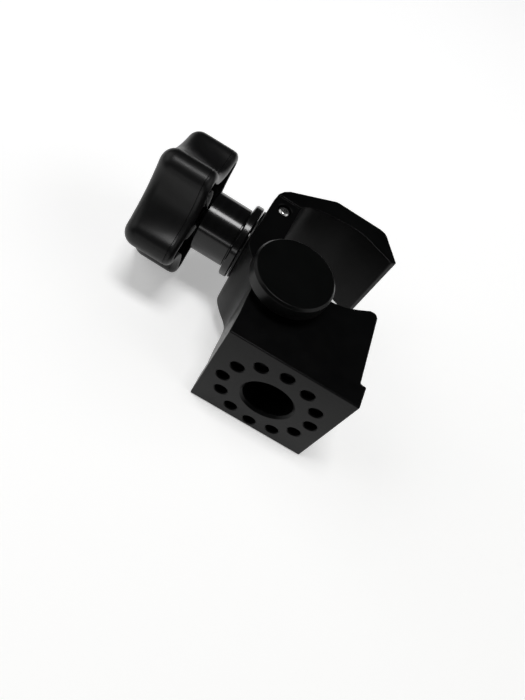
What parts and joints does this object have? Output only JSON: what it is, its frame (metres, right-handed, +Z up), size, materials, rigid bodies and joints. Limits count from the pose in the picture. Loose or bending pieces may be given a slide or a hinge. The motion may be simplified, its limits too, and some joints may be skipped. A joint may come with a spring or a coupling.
{
  "type": "pole clamp",
  "caption": "Screw clamp for a round upright pole: C-shaped jaw, lobed knob on a spindle with a pressure pad, square indexed flange with a central socket, and a push-button release.",
  "frame": {"origin": "middle of the bounding box in X and Y, at the flange's bottom edge, which is the height that the clamp rests at", "axes": "+X along the spindle from the knob towards the jaw's open mouth, +Y from the flange's mating face into the body, +Z up along the pole"},
  "size_m": [0.083, 0.0692, 0.047],
  "materials": {
    "body_coat": "satin black",
    "bush_black": "gloss black",
    "knob_plastic": "satin black",
    "steel_bright": "bright zinc",
    "steel_dark": "black oxide",
    "rubber_black": "matt"
  },
  "bodies": {
    "body": {"clamp_body": "body_coat", "spindle_bush": "bush_black", "bush_washer": "bush_black", "bush_lock_screw": "steel_bright"},
    "pad": {"pressure_pad": "steel_dark", "pad_facing": "rubber_black", "pad_circlip": "steel_bright"},
    "spindle": {"spindle": "steel_dark", "knob": "knob_plastic", "knob_insert": "steel_dark", "spindle_nut": "steel_bright", "knob_end_cap": "knob_plastic"},
    "button": {"release_button": "body_coat", "latch_plunger": "steel_bright", "button_spring": "steel_bright", "plunger_circlip": "steel_bright"}
  },
  "joints": [
    {"name": "pad_slide", "type": "slide", "parent": "body", "child": "pad", "axis": [1, 0, 0], "range_m": [-0.00901, 0.00064]},
    {"name": "knob_turn", "type": "hinge", "parent": "pad", "child": "spindle", "pos_m": [-0.01385, 0.01052, 0.0238], "axis": [1, 0, 0], "range_deg": [-2592, 180]},
    {"name": "button_press", "type": "slide", "parent": "body", "child": "button", "axis": [0, 0, -1], "range_m": [0, 0.003], "stiffness_N_per_m": 1500, "springref_m": -0.003, "deforming": ["button_spring"]}
  ],
  "couplings": [
    {"joint": "pad_slide", "follows": "knob_turn", "m_per_rad": 0.00019894}
  ]
}
